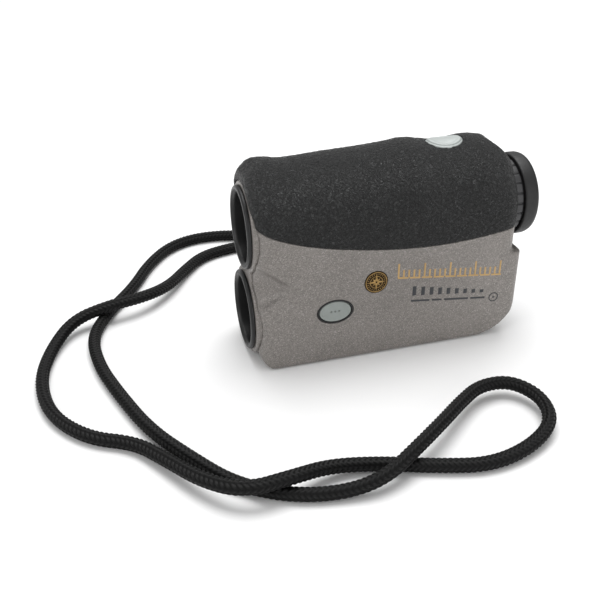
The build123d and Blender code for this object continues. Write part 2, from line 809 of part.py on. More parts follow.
with BuildPart() as mode_board:
    add(
        block(
            (mode_x - 5.5, -mode_board_top, mode_z - 7.4),
            (mode_x + 5.5, -mode_board_top + key_board_thickness, mode_z + 7.4),
        )
    )
mode_board.part.label = "mode_board"
export_step(mode_board.part, "parts/mode_board.step")

# ---- Badge disc --------------------------------------------------------------------------------------------
with BuildPart() as badge_disc:
    with BuildSketch(badge_plane.offset(half_width - badge_depth)):
        Circle(badge_radius)
    extrude(amount=badge_depth - play)
badge_disc.part.label = "badge_disc"
export_step(badge_disc.part, "parts/badge_disc.step")

# ---- Battery, its tube, spring, seal, door and hinge -----------------------------------------------------------
with BuildPart() as battery_tube:
    add(
        turned(
            battery_z,
            [
                (tube_front, 0), (tube_front + tube_wall, 0), (tube_front + tube_wall, tube_bore),
                (pocket_x - 0.8, tube_bore), (pocket_x - 0.8, tube_bore + tube_wall),
                (tube_front, tube_bore + tube_wall),
            ],
        )
    )
battery_tube.part.label = "battery_tube"
export_step(battery_tube.part, "parts/battery_tube.step")

nub = 1.3
with BuildPart() as battery:
    add(rod(battery_z, battery_front + nub, battery_rear, battery_radius))
    add(rod(battery_z, battery_front, battery_front + nub, 3.0))
battery.part.label = "battery"
export_step(battery.part, "parts/battery.step")

plate_x = tube_front + tube_wall
with BuildPart() as battery_spring:
    add(rod(battery_z, plate_x, plate_x + 0.3, 6.0))
    with BuildSketch(axis_plane(battery_z)):
        with BuildLine():
            Polyline(
                (plate_x + 0.3, -4), (battery_front - 0.02, 0), (plate_x + 0.3, 4),
                (plate_x + 0.3, 3.1), (battery_front - 0.4, 0), (plate_x + 0.3, -3.1), close=True,
            )
        make_face()
    extrude(amount=1.5, both=True)
battery_spring.part.label = "battery_spring"
export_step(battery_spring.part, "parts/battery_spring.step")

with BuildPart() as door_seal:
    add(sleeve(battery_z, pocket_x - 0.8, pocket_x, tube_bore + 0.3, tube_bore + tube_wall))
door_seal.part.label = "door_seal"
export_step(door_seal.part, "parts/door_seal.step")

with BuildPart() as battery_door:
    add(shell_form(0.05))
    add(
        block((pocket_x + move_gap, -door_half, door_bottom), (rear_x, door_half, door_top)),
        mode=Mode.INTERSECT,
    )
    add(
        block(
            (hinge_x, -door_half, door_bottom),
            (pocket_x + move_gap + 0.3, door_half, hinge_z + hinge_radius - 0.2),
        )
    )
    add(cross_rod(hinge_x, hinge_z, -door_half, door_half, hinge_radius))
    for side in (-1, 1):
        near, far = sorted((side * tab_inner, side * tab_outer))
        add(
            block(
                (pocket_x - 1.2, near, door_top - tab_height),
                (pocket_x + move_gap, far, door_top - 0.2),
            )
        )
        near, far = sorted((side * (door_half - pin_hold - 0.3), side * door_half))
        add(cross_rod(hinge_x, hinge_z, near, far, pin_radius + 0.05), mode=Mode.SUBTRACT)
battery_door.part.label = "battery_door"
export_step(battery_door.part, "parts/battery_door.step")

with BuildPart() as door_contact:
    add(rod(battery_z, battery_rear + 0.1, pocket_x + move_gap, 3.0))
door_contact.part.label = "door_contact"
export_step(door_contact.part, "parts/door_contact.step")

with BuildPart() as door_hinge_pins:
    for side in (-1, 1):
        ends = sorted((side * (door_half - pin_hold), side * (pin_end - play)))
        add(cross_rod(hinge_x, hinge_z, *ends, pin_radius))
door_hinge_pins.part.label = "door_hinge_pins"
export_step(door_hinge_pins.part, "parts/door_hinge_pins.step")

# ---- Lanyard: the lug's bar, a thin link, a ferrule and the cord -------------------------------------------------
with BuildPart() as lanyard_bar:
    with Locations(Location((lug_x, bar_y, lug_z), (0, 90, 0))):
        Cylinder(bar_radius, lug_width + 2.2)
lanyard_bar.part.label = "lanyard_bar"
export_step(lanyard_bar.part, "parts/lanyard_bar.step")

link_bend = bar_radius + slide_clearance + link_radius
link_plane = Plane(
    origin=(lug_x, bar_y, lug_z), x_dir=(0, cos(link_slope), -sin(link_slope)), z_dir=(1, 0, 0)
)
with BuildPart() as lanyard_link:
    with BuildLine(link_plane) as link_path:
        Line((0, link_bend), (link_length, link_bend))
        ThreePointArc(
            (link_length, link_bend), (link_length + link_bend, 0), (link_length, -link_bend)
        )
        Line((link_length, -link_bend), (0, -link_bend))
        ThreePointArc((0, -link_bend), (-link_bend, 0), (0, link_bend))
    with BuildSketch(Plane(link_plane.from_local_coords((0, link_bend, 0)), z_dir=link_plane.x_dir)):
        Circle(link_radius)
    sweep(path=link_path.wire())
lanyard_link.part.label = "lanyard_link"
export_step(lanyard_link.part, "parts/lanyard_link.step")

with BuildPart() as lanyard_ferrule:
    with Locations((lug_x, ferrule_y, ferrule_z)):
        Box(*ferrule_size)
    fillet(lanyard_ferrule.edges().filter_by(Axis.Y), 2.6)
    fillet(lanyard_ferrule.faces().sort_by(Axis.Y)[0].edges(), 1.2)
lanyard_ferrule.part.label = "lanyard_ferrule"
export_step(lanyard_ferrule.part, "parts/lanyard_ferrule.step")

route = [Vector(*point) for point in cord_route]
runs = [after - before for before, after in zip(route, route[1:])]
bend_radii = [
    0.45 * min(a.length, b.length) / tan(radians(a.get_angle(b)) / 2) for a, b in zip(runs, runs[1:])
]
print("cord bend radii", [round(radius, 1) for radius in bend_radii])
with BuildPart() as lanyard_cord:
    with BuildLine() as cord_path:
        FilletPolyline(*route, radius=bend_radii)
    with BuildSketch(Plane(cord_path.wire() @ 0, z_dir=cord_path.wire() % 0)):
        Circle(cord_diameter / 2)
    sweep(path=cord_path.wire())
lanyard_cord.part.label = "lanyard_cord"
export_step(lanyard_cord.part, "parts/lanyard_cord.step")
print("cord length", round(cord_path.wire().length, 1))
section = pi * cord_diameter**2 / 4
print("cord volume over section times length", lanyard_cord.part.volume / section / cord_path.wire().length)
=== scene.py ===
import bpy
import math
import numpy as np
from mathutils import Matrix, Vector, noise


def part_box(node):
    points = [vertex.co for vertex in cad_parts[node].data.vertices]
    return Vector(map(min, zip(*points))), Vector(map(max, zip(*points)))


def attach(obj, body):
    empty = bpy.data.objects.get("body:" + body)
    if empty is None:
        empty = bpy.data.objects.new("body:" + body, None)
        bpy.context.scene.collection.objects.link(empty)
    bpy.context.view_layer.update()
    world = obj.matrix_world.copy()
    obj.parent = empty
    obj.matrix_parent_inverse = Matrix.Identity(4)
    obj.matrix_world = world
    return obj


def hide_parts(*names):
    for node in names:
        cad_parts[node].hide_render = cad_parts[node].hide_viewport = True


# A compact laser rangefinder on its braided wrist lanyard. Metres, in the CAD frame:
# +X from the lenses to the eyepiece, +Z up, the mode button's side faces -Y.

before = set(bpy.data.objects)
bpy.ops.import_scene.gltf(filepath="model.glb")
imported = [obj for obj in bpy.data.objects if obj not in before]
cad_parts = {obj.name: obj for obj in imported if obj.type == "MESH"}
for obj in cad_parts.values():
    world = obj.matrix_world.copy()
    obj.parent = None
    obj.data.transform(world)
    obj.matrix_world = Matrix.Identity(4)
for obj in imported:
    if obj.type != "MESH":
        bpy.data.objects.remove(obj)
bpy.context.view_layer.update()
MM = 0.001

# ---- Camera --------------------------------------------------------------------------------------
camera_data = bpy.data.cameras.new("camera")
camera_data.sensor_width = 36.0
camera_data.lens = 50.657
camera_data.clip_start, camera_data.clip_end = 0.005, 20.0
camera = bpy.data.objects.new("camera", camera_data)
bpy.context.scene.collection.objects.link(camera)
bpy.context.scene.camera = camera
camera_right = (0.96160138, -0.27433092, -0.00808258)
camera_up = (0.14546745, 0.48448611, 0.86261952)
camera_back = (-0.23272731, -0.83067187, 0.50578873)
camera_place = (-0.09398, -0.233025, 0.15658)
camera.matrix_world = Matrix(
    [[*axes, place] for axes, place in zip(zip(camera_right, camera_up, camera_back), camera_place)]
    + [[0, 0, 0, 1]]
)

# ---- Light ---------------------------------------------------------------------------------------
scene = bpy.context.scene
scene.view_settings.view_transform = "Standard"
scene.view_settings.look = "None"


def area_light(name, place, aim, size, power):
    """A soft square light at place, facing aim."""
    data = bpy.data.lights.new(name, "AREA")
    data.energy = power
    data.size = size
    light = bpy.data.objects.new(name, data)
    light.location = place
    light.rotation_euler = (Vector(aim) - Vector(place)).to_track_quat("-Z", "Y").to_euler()
    scene.collection.objects.link(light)


area_light("light_overhead", (0.10, 0.30, 1.0), (0, 0, 0.03), 0.8, 10.0)
area_light("light_left", (-0.85, -0.35, 0.60), (0, 0, 0.03), 0.5, 2.0)
area_light("light_front", (0.40, -1.0, 0.38), (0, 0, 0.03), 0.8, 2.6)
world = bpy.data.worlds.new("studio")
world.use_nodes = True
world.node_tree.nodes["Background"].inputs["Color"].default_value = (1, 1, 1, 1)
world.node_tree.nodes["Background"].inputs["Strength"].default_value = 0.5
scene.world = world


# ---- Material helpers ----------------------------------------------------------------------------
def grey(level):
    return (level, level, level, 1.0)


def rgb(r, g, b):
    return (r, g, b, 1.0)


class Shade:
    """A material's node tree, with short calls for the nodes that the materials here share."""

    def __init__(self, name, metallic=0.0, roughness=0.5, color=None, **sockets):
        self.material = bpy.data.materials.new(name)
        self.material.use_nodes = True
        self.nodes = self.material.node_tree.nodes
        self.links = self.material.node_tree.links
        self.shader = self.nodes["Principled BSDF"]
        self.shader.inputs["Metallic"].default_value = metallic
        self.shader.inputs["Roughness"].default_value = roughness
        if color:
            self.shader.inputs["Base Color"].default_value = color
        for socket, value in sockets.items():
            self.shader.inputs[socket.replace("_", " ")].default_value = value
        self.place = self.nodes.new("ShaderNodeTexCoord").outputs["Object"]

    def link(self, source, target):
        self.links.new(source, target)

    def noise(self, scale, detail=3.0, rough=0.55, place=None, distortion=0.0):
        node = self.nodes.new("ShaderNodeTexNoise")
        node.inputs["Scale"].default_value = scale
        node.inputs["Detail"].default_value = detail
        node.inputs["Roughness"].default_value = rough
        node.inputs["Distortion"].default_value = distortion
        self.link(place or self.place, node.inputs["Vector"])
        return node.outputs["Fac"]

    def cells(self, scale, feature="F1", metric="EUCLIDEAN", place=None, randomness=1.0):
        node = self.nodes.new("ShaderNodeTexVoronoi")
        node.feature = feature
        if feature != "DISTANCE_TO_EDGE":
            node.distance = metric
        node.inputs["Scale"].default_value = scale
        node.inputs["Randomness"].default_value = randomness
        self.link(place or self.place, node.inputs["Vector"])
        return node

    def ramp(self, source, *stops):
        node = self.nodes.new("ShaderNodeValToRGB")
        elements = node.color_ramp.elements
        while len(elements) < len(stops):
            elements.new(0.5)
        for element, (position, color) in zip(elements, stops):
            element.position = position
            element.color = color
        self.link(source, node.inputs["Fac"])
        return node.outputs["Color"]

    def math(self, kind, a, b=0.0, clamp=False):
        node = self.nodes.new("ShaderNodeMath")
        node.operation = kind
        node.use_clamp = clamp
        for socket, value in zip(node.inputs, (a, b)):
            if isinstance(value, (int, float)):
                socket.default_value = value
            else:
                self.link(value, socket)
        return node.outputs[0]

    def mix(self, factor, a, b, kind="MIX"):
        node = self.nodes.new("ShaderNodeMixRGB")
        node.blend_type = kind
        for socket, value in zip(node.inputs, (factor, a, b)):
            if isinstance(value, (int, float)):
                socket.default_value = value
            elif isinstance(value, tuple):
                socket.default_value = value
            else:
                self.link(value, socket)
        return node.outputs[0]

    def map_range(self, source, low, high, to_low, to_high):
        node = self.nodes.new("ShaderNodeMapRange")
        self.link(source, node.inputs["Value"])
        limits = {"From Min": low, "From Max": high, "To Min": to_low, "To Max": to_high}
        for socket, value in limits.items():
            node.inputs[socket].default_value = value
        return node.outputs["Result"]

    def color(self, source):
        self.link(source, self.shader.inputs["Base Color"])

    def roughness(self, source):
        self.link(source, self.shader.inputs["Roughness"])

    def bump(self, height, distance, strength=1.0, after=None):
        node = self.nodes.new("ShaderNodeBump")
        node.inputs["Distance"].default_value = distance
        node.inputs["Strength"].default_value = strength
        self.link(height, node.inputs["Height"])
        if after:
            self.link(after, node.inputs["Normal"])
        self.link(node.outputs["Normal"], self.shader.inputs["Normal"])
        return node.outputs["Normal"]


def assign(piece, material):
    """Gives a piece one material, in every slot it has."""
    if not piece.data.materials:
        piece.data.materials.append(material)
    for slot in piece.material_slots:
        slot.material = material


def smooth(piece):
    for polygon in piece.data.polygons:
        polygon.use_smooth = True


# ---- Materials -----------------------------------------------------------------------------------
def painted_shell():
    """Taupe metallic paint, with fine light and dark flakes and an orange-peel texture."""
    m = Shade("painted_shell", metallic=0.25, roughness=0.42, Coat_Weight=0.15, Coat_Roughness=0.3)
    speckle = m.cells(4200.0).outputs["Color"]
    separate = m.nodes.new("ShaderNodeSeparateColor")
    m.link(speckle, separate.inputs["Color"])
    flakes = m.ramp(
        separate.outputs["Red"],
        (0.0, rgb(0.158, 0.146, 0.134)), (0.5, rgb(0.222, 0.204, 0.189)),
        (0.85, rgb(0.255, 0.235, 0.219)), (1.0, rgb(0.38, 0.352, 0.330)),
    )
    blotch = m.ramp(m.noise(60.0, 4.0), (0.35, grey(0.93)), (0.7, grey(1.04)))
    m.color(m.mix(1.0, flakes, blotch, "MULTIPLY"))
    m.roughness(m.map_range(separate.outputs["Green"], 0.0, 1.0, 0.34, 0.56))
    first = m.bump(m.noise(1700.0, 2.0), 0.00003, 0.5)
    m.bump(separate.outputs["Blue"], 0.00003, 0.5, after=first)
    return m.material


def armor_rubber():
    """Dark rubber with an irregular leather grain: short worm-like ridges with glossier crests, painted
    shade in the valleys and painted highlights on the crests.
    """
    m = Shade("armor_rubber", roughness=0.6, Specular_IOR_Level=0.5)
    worms = m.noise(860.0, 2.5, 0.6, distortion=1.6)
    ridge = m.math("ABSOLUTE", m.math("SUBTRACT", worms, 0.5))
    ridge = m.map_range(ridge, 0.0, 0.16, 0.0, 1.0)
    pebble = m.map_range(m.cells(760.0, "DISTANCE_TO_EDGE").outputs["Distance"], 0.0, 0.3, 0.0, 1.0)
    fine = m.noise(5200.0, 2.0)
    height = m.math("ADD", m.math("MULTIPLY", ridge, 0.7), m.math("MULTIPLY", pebble, 0.35))
    height = m.math("ADD", height, m.math("MULTIPLY", fine, 0.15))
    # painted shade and painted highlight: the colour runs from near black in the grain's valleys to
    # lighter on its crests
    grain_shade_and_highlight = m.ramp(
        height, (0.15, grey(0.003)), (0.55, rgb(0.011, 0.0115, 0.0115)), (1.0, rgb(0.04, 0.0415, 0.0415))
    )
    dust = m.ramp(m.noise(45.0, 5.0), (0.4, grey(0.88)), (0.75, grey(1.14)))
    m.color(m.mix(1.0, grain_shade_and_highlight, dust, "MULTIPLY"))
    m.roughness(m.map_range(height, 0.2, 1.1, 0.62, 0.24))
    m.bump(height, 0.0007, 1.0)
    return m.material


def satin_black(name, color, roughness=0.38, grain=2400.0):
    """Satin moulded or anodised black, with a faint grain and slight wear in its gloss."""
    m = Shade(name, roughness=roughness)
    shade = m.ramp(
        m.noise(120.0, 4.0), (0.3, rgb(*(0.85 * c for c in color))), (0.7, rgb(*(1.12 * c for c in color)))
    )
    m.color(shade)
    m.roughness(m.map_range(m.noise(grain, 3.0), 0.3, 0.7, roughness * 0.85, roughness * 1.2))
    m.bump(m.noise(grain, 2.0), 0.00002, 0.6)
    return m.material


def brushed_steel(name, color=(0.55, 0.55, 0.56)):
    m = Shade(name, metallic=1.0, roughness=0.28)
    m.color(m.ramp(m.noise(700.0, 3.0), (0.3, rgb(*(0.8 * c for c in color))), (0.7, rgb(*color))))
    m.roughness(m.map_range(m.noise(1500.0, 4.0), 0.3, 0.7, 0.2, 0.4))
    m.bump(m.noise(2600.0, 2.0), 0.00001, 0.5)
    return m.material


def molded(name, color, roughness=0.5, bump=0.00003, specks=0.1):
    """Moulded plastic or soft rubber with a fine spark-eroded texture."""
    m = Shade(name, roughness=roughness)
    m.color(
        m.ramp(
            m.noise(350.0, 5.0),
            (0.3, rgb(*(c * (1 - specks) for c in color))), (0.7, rgb(*(c * (1 + specks) for c in color))),
        )
    )
    m.roughness(m.map_range(m.noise(1800.0, 3.0), 0.3, 0.7, roughness * 0.85, min(1.0, roughness * 1.15)))
    m.bump(m.noise(3800.0, 2.0), bump, 0.7)
    return m.material


def coated_glass(name, tint):
    """Clear glass with a faintly coloured anti-reflection coating."""
    m = Shade(name, roughness=0.03, Transmission_Weight=1.0, IOR=1.5)
    m.color(m.ramp(m.noise(80.0, 2.0), (0.3, rgb(*tint)), (0.7, rgb(*(min(1.0, t * 1.05) for t in tint)))))
    m.roughness(m.map_range(m.noise(400.0, 4.0), 0.45, 0.75, 0.015, 0.06))
    return m.material


def solder_board():
    m = Shade("solder_board", roughness=0.3, Coat_Weight=0.4)
    tracks = m.nodes.new("ShaderNodeTexBrick")
    tracks.inputs["Scale"].default_value = 260.0
    tracks.inputs["Color1"].default_value = rgb(0.012, 0.085, 0.035)
    tracks.inputs["Color2"].default_value = rgb(0.016, 0.11, 0.045)
    tracks.inputs["Mortar"].default_value = rgb(0.06, 0.22, 0.1)
    tracks.inputs["Mortar Size"].default_value = 0.012
    m.link(m.place, tracks.inputs["Vector"])
    m.color(tracks.outputs["Color"])
    m.bump(tracks.outputs["Fac"], 0.00003, 0.6)
    return m.material


def braid_material():
    """Black nylon: fine filaments on each strand, painted shade darkening the gaps between the strands and
    painted highlights lightening their crowns.
    """
    m = Shade("cord_nylon", roughness=0.4, Specular_IOR_Level=0.2)
    strand = m.nodes.new("ShaderNodeAttribute")
    strand.attribute_name = "strand"
    fibre = m.noise(9000.0, 2.0, 0.6)
    # painted shade and painted highlight: the strand height darkens the gaps nearly to black and lightens
    # the crowns
    crown = m.ramp(strand.outputs["Fac"], (0.45, grey(0.0004)), (0.82, grey(0.0025)), (1.0, grey(0.012)))
    thread = m.ramp(fibre, (0.3, grey(0.6)), (0.75, grey(1.5)))
    patch = m.ramp(m.noise(70.0, 3.0), (0.3, grey(0.85)), (0.7, grey(1.15)))
    m.color(m.mix(1.0, m.mix(1.0, crown, thread, "MULTIPLY"), patch, "MULTIPLY"))
    m.roughness(m.map_range(fibre, 0.3, 0.7, 0.4, 0.65))
    m.bump(fibre, 0.00004, 0.6)
    return m.material


PAINT = painted_shell()
RUBBER = armor_rubber()
RING = satin_black("ring_satin", (0.004, 0.0042, 0.0045), 0.42)
GRIP = satin_black("grip_satin", (0.038, 0.038, 0.04), 0.42)
BORE = satin_black("bore_black", (0.0022, 0.0022, 0.0022), 0.6)
EYECUP = molded("eyecup_rubber", (0.0065, 0.0066, 0.0068), 0.52)
SEAL = molded("seal_rubber", (0.008, 0.008, 0.008), 0.55)
POWER = molded("power_key", (0.42, 0.45, 0.44), 0.36, 0.00001, 0.04)
MODE = molded("mode_key", (0.27, 0.295, 0.28), 0.36, 0.00001, 0.05)
MODE_MARK = molded("mode_mark", (0.15, 0.17, 0.16), 0.4, 0.00001, 0.05)
STEEL = brushed_steel("clip_steel")
BRASS = brushed_steel("laser_can", (0.72, 0.53, 0.27))
BOARD = solder_board()
CHIP = molded("chip_black", (0.012, 0.012, 0.013), 0.45)
PLASTIC = molded("bracket_plastic", (0.03, 0.03, 0.033), 0.5)
GLASS = coated_glass("lens_glass", (0.82, 0.93, 0.88))
PRISM = coated_glass("prism_glass", (0.93, 0.96, 0.98))
BATTERY = molded("battery_wrap", (0.05, 0.055, 0.3), 0.25, 0.00001)
DOOR = molded("door_plastic", (0.035, 0.035, 0.036), 0.5)
NYLON = braid_material()

dressed = {
    PAINT: ["main_housing", "front_cap"],
    RUBBER: ["rubber_armor"],
    RING: ["upper_lens_ring", "lower_lens_ring", "diopter_ring"],
    BORE: [
        "objective_tube", "receiver_tube", "eyepiece_barrel", "eye_lens_cell", "objective_retainer",
        "receiver_retainer",
    ],
    GLASS: ["objective_lens", "receiver_lens", "field_lens", "eye_lens"],
    PRISM: ["prism", "display_glass"],
    EYECUP: ["eyecup"],
    POWER: ["power_button"],
    MODE: ["mode_button"],
    SEAL: ["power_button_seal", "mode_gasket", "eyepiece_seal", "door_seal"],
    BRASS: ["badge_disc", "laser_module", "detector"],
    PLASTIC: ["optics_bracket", "display_module", "battery_tube", "lanyard_ferrule"],
    STEEL: [
        "prism_clip", "board_screws", "door_hinge_pins", "lanyard_bar", "lanyard_link",
        "battery_spring", "door_contact",
    ],
    BOARD: ["main_board", "detector_board", "power_board", "mode_board"],
    CHIP: ["processor", "power_switch", "mode_switch"],
    BATTERY: ["battery"],
    DOOR: ["battery_door"],
}
for material, nodes in dressed.items():
    for node in nodes:
        assign(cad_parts[node], material)

# ---- Mesh helpers --------------------------------------------------------------------------------
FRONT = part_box("upper_lens_ring")[0].x
UPPER_Z = 0.044
LOWER_Z = 0.0145
ARCH_Z = 0.0484
SIDE_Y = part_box("main_housing")[0].y


def make_piece(name, vertices, faces, body, material, replaced=()):
    """A smooth-shaded mesh object that rides on a body."""
    mesh = bpy.data.meshes.new(name)
    mesh.from_pydata([tuple(v) for v in vertices], [], [tuple(f) for f in faces])
    mesh.validate()
    mesh.update()
    piece = bpy.data.objects.new(name, mesh)
    scene.collection.objects.link(piece)
    smooth(piece)
    assign(piece, material)
    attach(piece, body)
    if replaced:
        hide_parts(*replaced)
    return piece


def rounded(points, radius, steps=4):
    """A closed polyline in a plane with its corners rounded."""
    out = []
    count = len(points)
    for i, point in enumerate(points):
        here = Vector(point)
        before = Vector(points[i - 1]) - here
        after = Vector(points[(i + 1) % count]) - here
        reach = min(radius, before.length * 0.45, after.length * 0.45)
        start = here + before.normalized() * reach
        end = here + after.normalized() * reach
        for k in range(steps + 1):
            t = k / steps
            out.append(tuple((1 - t) ** 2 * start + 2 * t * (1 - t) * here + t * t * end))
    return out


def turned(name, axis_z, profile, body, material, replaced=(), segments=144, notch=None):
    """A ring turned about a line along X from a closed profile of (x, radius), in mm behind the front.
    notch(x, radius, angle) gives how much smaller the radius is there."""
    vertices = []
    for k in range(segments):
        angle = 2 * math.pi * k / segments
        for x, radius in profile:
            r = radius - (notch(x, radius, angle) if notch else 0)
            vertices.append((FRONT + x * MM, math.cos(angle) * r * MM, axis_z + math.sin(angle) * r * MM))
    count = len(profile)
    faces = []
    for k in range(segments):
        a, b = k * count, (k + 1) % segments * count
        for j in range(count):
            n = (j + 1) % count
            faces.append((a + j, a + n, b + n, b + j))
    return make_piece(name, vertices, faces, body, material, replaced)


def stacked(name, rings, body, material, replaced=(), caps=(True, True)):
    """A solid skinned over rings of points, closed at its ends with a fan."""
    count = len(rings[0])
    vertices = [p for ring in rings for p in ring]
    faces = []
    for r in range(len(rings) - 1):
        for k in range(count):
            n = (k + 1) % count
            faces.append((r * count + k, r * count + n, (r + 1) * count + n, (r + 1) * count + k))
    for wanted, ring, flip in ((caps[0], 0, True), (caps[1], len(rings) - 1, False)):
        if wanted:
            middle = sum((Vector(p) for p in rings[ring]), Vector()) / count
            vertices.append(tuple(middle))
            centre = len(vertices) - 1
            for k in range(count):
                n = (k + 1) % count
                a, b = ring * count + k, ring * count + n
                faces.append((b, a, centre) if flip else (a, b, centre))
    return make_piece(name, vertices, faces, body, material, replaced)


# ---- Rubber armour: the CAD skin, softened, with its crest's swell and saddle --------------------
CREST = [
    (4, 0.0), (7, -0.2), (10, -0.3), (12.7, -0.9), (15.3, -1.1), (20, -0.9), (27, -0.5), (41.3, 0.0),
    (50.3, 0.6), (53.6, 1.1), (57, 0.9), (60.5, 0.2), (64, -0.4), (70, -0.2), (75, 0.3), (77.5, 0.25),
    (79.5, -0.05), (82, -0.6), (84, -1.15), (86, -1.95), (88.5, -3.3),
]  # mm behind the front, and how far the crest lies outside the CAD arch there


def shape_crest(co):
    """Moves points near the arch in and out, fading towards the sides and the axis."""
    x, y, z = co.T
    behind = (x - FRONT) / MM
    places = np.linspace(0, 90, 361)
    level = np.interp(places, *zip(*CREST))
    level = np.convolve(np.pad(level, 6, "edge"), np.hanning(15)[1:-1] / np.hanning(15).sum(), "valid")
    lift = np.interp(behind, places, level) * MM
    radius = np.hypot(y, z - ARCH_Z)
    near = np.clip((radius - 9.5 * MM) / (4.5 * MM), 0, 1)
    upward = np.clip((z - ARCH_Z + 4 * MM) / (14 * MM), 0, 1)
    upward = upward * upward * (3 - 2 * upward)
    push = lift * near * upward / np.maximum(radius, 1e-6)
    co[:, 1] += y * push
    co[:, 2] += (z - ARCH_Z) * push
    return co


def softened_copy(node, voxel, passes):
    """A copy of a CAD node's mesh with small roundings along its edges."""
    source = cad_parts[node]
    piece = bpy.data.objects.new(node + "_skin", source.data.copy())
    scene.collection.objects.link(piece)
    piece.data.materials.clear()
    remesh = piece.modifiers.new("remesh", "REMESH")
    remesh.mode = "VOXEL"
    remesh.voxel_size = voxel
    relax = piece.modifiers.new("relax", "SMOOTH")
    relax.factor = 0.5
    relax.iterations = passes
    graph = bpy.context.evaluated_depsgraph_get()
    mesh = bpy.data.meshes.new_from_object(piece.evaluated_get(graph))
    piece.modifiers.clear()
    old = piece.data
    piece.data = mesh
    bpy.data.meshes.remove(old)
    smooth(piece)
    return piece


def mesh_points(mesh):
    co = np.empty(len(mesh.vertices) * 3, np.float32)
    mesh.vertices.foreach_get("co", co)
    return co.reshape(-1, 3).astype(float)


def mesh_normals(mesh):
    normals = np.empty(len(mesh.vertices) * 3, np.float32)
    mesh.vertex_normals.foreach_get("vector", normals)
    return normals.reshape(-1, 3).astype(float)


def set_mesh_points(mesh, co):
    mesh.vertices.foreach_set("co", co.astype(np.float32).ravel())
    mesh.update()


BROW_DEPTH = 3.4  # mm behind the front, where the brow over the front cap starts
BROW_REACH = 0.75 * MM
GRAIN_DEPTH = 0.11 * MM


def armor_skin():
    """The rubber with its swell, its brow and the coarse part of its grain."""
    piece = softened_copy("rubber_armor", 0.33 * MM, 3)
    co = shape_crest(mesh_points(piece.data))
    front_edge = np.clip((BROW_DEPTH - (co[:, 0] - FRONT) / MM) / 1.2, 0, 1)
    high = np.clip((co[:, 2] - 0.050) / (5 * MM), 0, 1)
    co[:, 0] -= BROW_REACH * front_edge * high
    set_mesh_points(piece.data, co)
    grain = np.array([noise.noise(Vector(p) * 900) + 0.5 * noise.noise(Vector(p) * 1900) for p in co])
    set_mesh_points(piece.data, co + mesh_normals(piece.data) * (grain * GRAIN_DEPTH)[:, None])
    assign(piece, RUBBER)
    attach(piece, "housing")
    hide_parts("rubber_armor")


armor_skin()

# ---- Painted shell: the CAD solids with softened edges -------------------------------------------
for node, voxel in (("main_housing", 0.42 * MM), ("front_cap", 0.25 * MM)):
    skin = softened_copy(node, voxel, 2)
    set_mesh_points(skin.data, shape_crest(mesh_points(skin.data)))
    assign(skin, PAINT)
    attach(skin, "housing")
    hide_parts(node)

# ---- Lens rings, with fine threads in their bores ------------------------------------------------
threads = []
for k in range(6):
    threads += [(4.3 - k * 0.6, 11.0), (4.05 - k * 0.6, 11.14)]
ring_profile = rounded(
    [
        (0.0, 11.75), (0.0, 12.65), (0.45, 13.15), (1.35, 13.15), (1.35, 12.2), (4.4, 12.2),
        (4.4, 11.0),
    ],
    0.28,
) + threads + [(0.62, 11.1)]
for name, axis_z in (("upper", UPPER_Z), ("lower", LOWER_Z)):
    turned(
        name + "_lens_rim", axis_z, ring_profile, "housing", RING,
        [name + "_lens_ring"],
    )

# ---- Diopter ring and eyecup ---------------------------------------------------------------------
GRIP_START = (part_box("diopter_ring")[0].x - FRONT) / MM
GRIP_END = GRIP_START + 2.2
GRIP_RIBS = 24


def grip_notch(x, radius, angle):
    """Narrow grooves across the grip."""
    if radius < 12.3:
        return 0.0
    phase = angle / (2 * math.pi) * GRIP_RIBS % 1.0
    depth = max(0.0, 1 - abs(phase - 0.5) / 0.13)
    return 0.62 * min(1.0, depth * 1.8)


grip_profile = rounded(
    [
        (GRIP_START, 11.06), (GRIP_START, 12.9), (GRIP_END, 12.9), (GRIP_END, 12.0), (95.5, 12.0),
        (95.5, 8.8), (94.2, 8.8), (94.2, 11.06),
    ],
    0.22, 3,
)
turned(
    "diopter_grip", UPPER_Z, grip_profile, "diopter", GRIP, ["diopter_ring"],
    segments=GRIP_RIBS * 16, notch=grip_notch,
)
eyecup_profile = rounded(
    [
        (91.3, 12.02), (91.3, 13.3), (91.75, 13.6), (93.2, 13.65), (94.9, 13.6), (96.0, 13.2),
        (96.5, 12.4), (96.5, 10.3), (96.1, 9.4), (95.55, 9.2), (95.55, 12.02),
    ],
    0.35,
)
turned("eyecup_cushion", UPPER_Z, eyecup_profile, "diopter", EYECUP, ["eyecup"])

# ---- Power button: a dished oval whose skirt follows the arch ------------------------------------
POWER_X = (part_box("power_button")[0].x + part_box("power_button")[1].x) / 2
POWER_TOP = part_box("power_button")[1].z
AROUND = 96


def oval_ring(half, height):
    """Points round an oval above the armour, at a height that may vary with the angle."""
    ring = []
    for k in range(AROUND):
        a = 2 * math.pi * k / AROUND
        ring.append((POWER_X + half[0] * math.cos(a) * MM, half[1] * math.sin(a) * MM, height(a)))
    return ring


def button_rim(a):
    """The rim dips towards both sides, as the arch below it does."""
    return POWER_TOP - (0.1 + 0.8 * math.sin(a) ** 2) * MM


